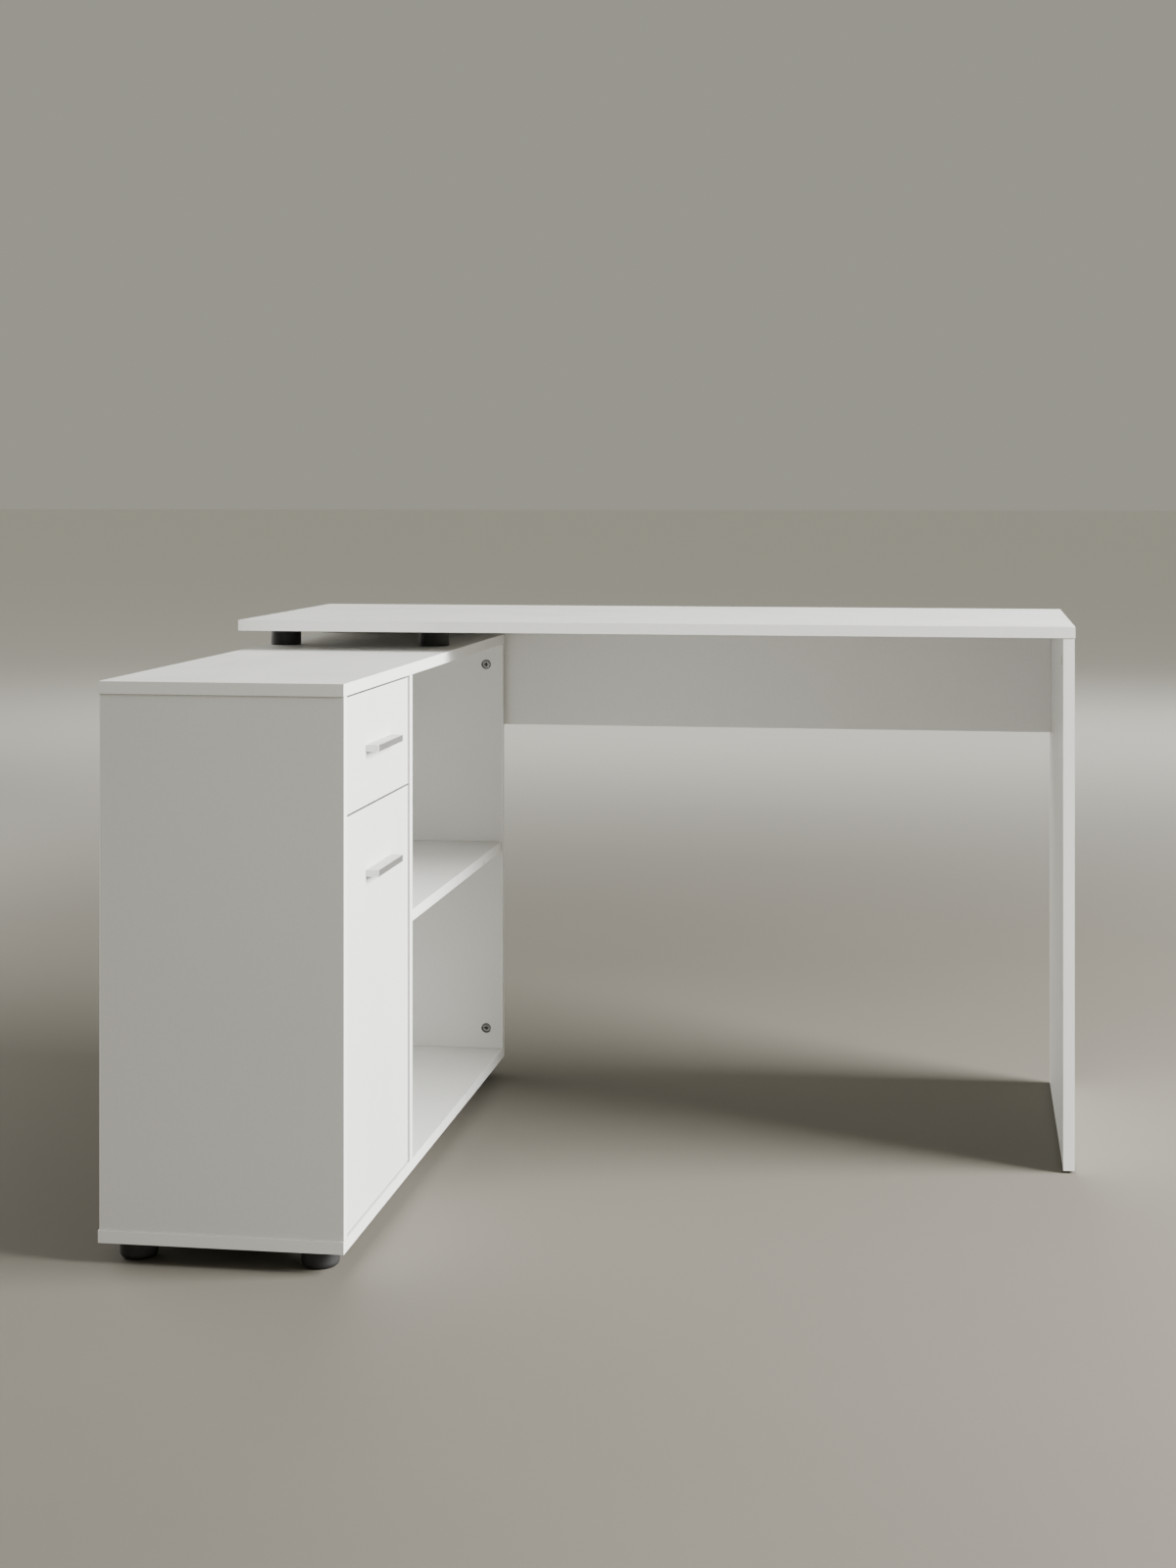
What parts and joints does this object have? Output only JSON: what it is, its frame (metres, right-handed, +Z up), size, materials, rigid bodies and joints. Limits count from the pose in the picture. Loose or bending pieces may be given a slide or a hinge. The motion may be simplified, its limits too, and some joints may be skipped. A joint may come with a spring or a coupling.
{
  "type": "corner desk",
  "caption": "White corner desk: a long desktop on a low cabinet with a drawer, a cupboard and an open bay at its left end, and on a leg panel at its right.",
  "frame": {"origin": "on the floor, under the middle of the whole desk's bounding box", "axes": "+X along the desktop, from the cabinet to the leg panel; +Y away from the user, towards the modesty panel; +Z up"},
  "size_m": [1.165, 1.06, 0.735],
  "materials": {
    "white_melamine": "white melamine-faced chipboard, satin, with matching edge banding",
    "white_hardboard": "thin hardboard, painted white inside, plain brown behind",
    "black_plastic": "matt black moulded plastic",
    "satin_aluminium": "satin anodised",
    "zinc_plated_steel": "bright zinc plating",
    "white_painted_steel": "white powder coat"
  },
  "bodies": {
    "desk_frame": {"cabinet_top_panel": "white_melamine", "cabinet_bottom_panel": "white_melamine", "near_end_panel": "white_melamine", "far_end_panel": "white_melamine", "divider_panel": "white_melamine", "back_panel": "white_hardboard", "open_bay_shelf": "white_melamine", "cupboard_shelf": "white_melamine", "desktop": "white_melamine", "leg_panel": "white_melamine", "modesty_panel": "white_melamine", "foot_near_back": "black_plastic", "foot_near_front": "black_plastic", "foot_middle_back": "black_plastic", "foot_middle_front": "black_plastic", "foot_far_back": "black_plastic", "foot_far_front": "black_plastic", "spacer_back": "black_plastic", "spacer_front": "black_plastic", "leg_glide_near": "black_plastic", "leg_glide_far": "black_plastic", "shelf_pin_near_back": "zinc_plated_steel", "shelf_pin_near_front": "zinc_plated_steel", "shelf_pin_far_back": "zinc_plated_steel", "shelf_pin_far_front": "zinc_plated_steel", "end_cam_top_front": "zinc_plated_steel", "end_cam_top_back": "zinc_plated_steel", "end_cam_bottom_front": "zinc_plated_steel", "end_cam_bottom_back": "zinc_plated_steel", "leg_cam_near": "zinc_plated_steel", "leg_cam_far": "zinc_plated_steel", "modesty_screw_back": "zinc_plated_steel", "modesty_screw_front": "zinc_plated_steel", "hinge_arm_lower": "zinc_plated_steel", "hinge_arm_upper": "zinc_plated_steel", "cabinet_runner_near": "white_painted_steel", "cabinet_runner_far": "white_painted_steel"},
    "drawer": {"drawer_front": "white_melamine", "drawer_side_near": "white_melamine", "drawer_side_far": "white_melamine", "drawer_back": "white_melamine", "drawer_bottom": "white_hardboard", "drawer_handle": "satin_aluminium", "drawer_handle_screw_near": "zinc_plated_steel", "drawer_handle_screw_far": "zinc_plated_steel", "drawer_runner_near": "white_painted_steel", "drawer_runner_far": "white_painted_steel"},
    "door": {"door_panel": "white_melamine", "door_handle": "satin_aluminium", "door_handle_screw_near": "zinc_plated_steel", "door_handle_screw_far": "zinc_plated_steel", "hinge_cup_lower": "zinc_plated_steel", "hinge_cup_upper": "zinc_plated_steel"},
    "roller_near_front": {"runner_roller_near_front": "black_plastic"},
    "roller_near_back": {"runner_roller_near_back": "black_plastic"},
    "roller_far_front": {"runner_roller_far_front": "black_plastic"},
    "roller_far_back": {"runner_roller_far_back": "black_plastic"}
  },
  "joints": [
    {"name": "drawer_slide", "type": "slide", "parent": "desk_frame", "child": "drawer", "axis": [1, 0, 0], "range_m": [0, 0.185]},
    {"name": "door_hinge", "type": "hinge", "parent": "desk_frame", "child": "door", "pos_m": [-0.2845, -0.511, 0.288], "axis": [0, 0, -1], "range_deg": [0, 95]},
    {"name": "roller_near_front_spin", "type": "hinge", "parent": "desk_frame", "child": "roller_near_front", "pos_m": [-0.3115, -0.5092, 0.5523], "axis": [0, 1, 0], "range_deg": [0, 1515]},
    {"name": "roller_far_front_spin", "type": "hinge", "parent": "desk_frame", "child": "roller_far_front", "pos_m": [-0.3115, -0.1938, 0.5523], "axis": [0, 1, 0], "range_deg": [0, 1515]},
    {"name": "roller_near_back_spin", "type": "hinge", "parent": "drawer", "child": "roller_near_back", "pos_m": [-0.5397, -0.5063, 0.5523], "axis": [0, 1, 0], "range_deg": [0, 1515]},
    {"name": "roller_far_back_spin", "type": "hinge", "parent": "drawer", "child": "roller_far_back", "pos_m": [-0.5397, -0.1967, 0.5523], "axis": [0, 1, 0], "range_deg": [0, 1515]}
  ],
  "couplings": [
    {"joint": "roller_near_front_spin", "follows": "drawer_slide", "rad_per_m": 142.86},
    {"joint": "roller_near_back_spin", "follows": "drawer_slide", "rad_per_m": 142.86},
    {"joint": "roller_far_front_spin", "follows": "drawer_slide", "rad_per_m": 142.86},
    {"joint": "roller_far_back_spin", "follows": "drawer_slide", "rad_per_m": 142.86}
  ]
}
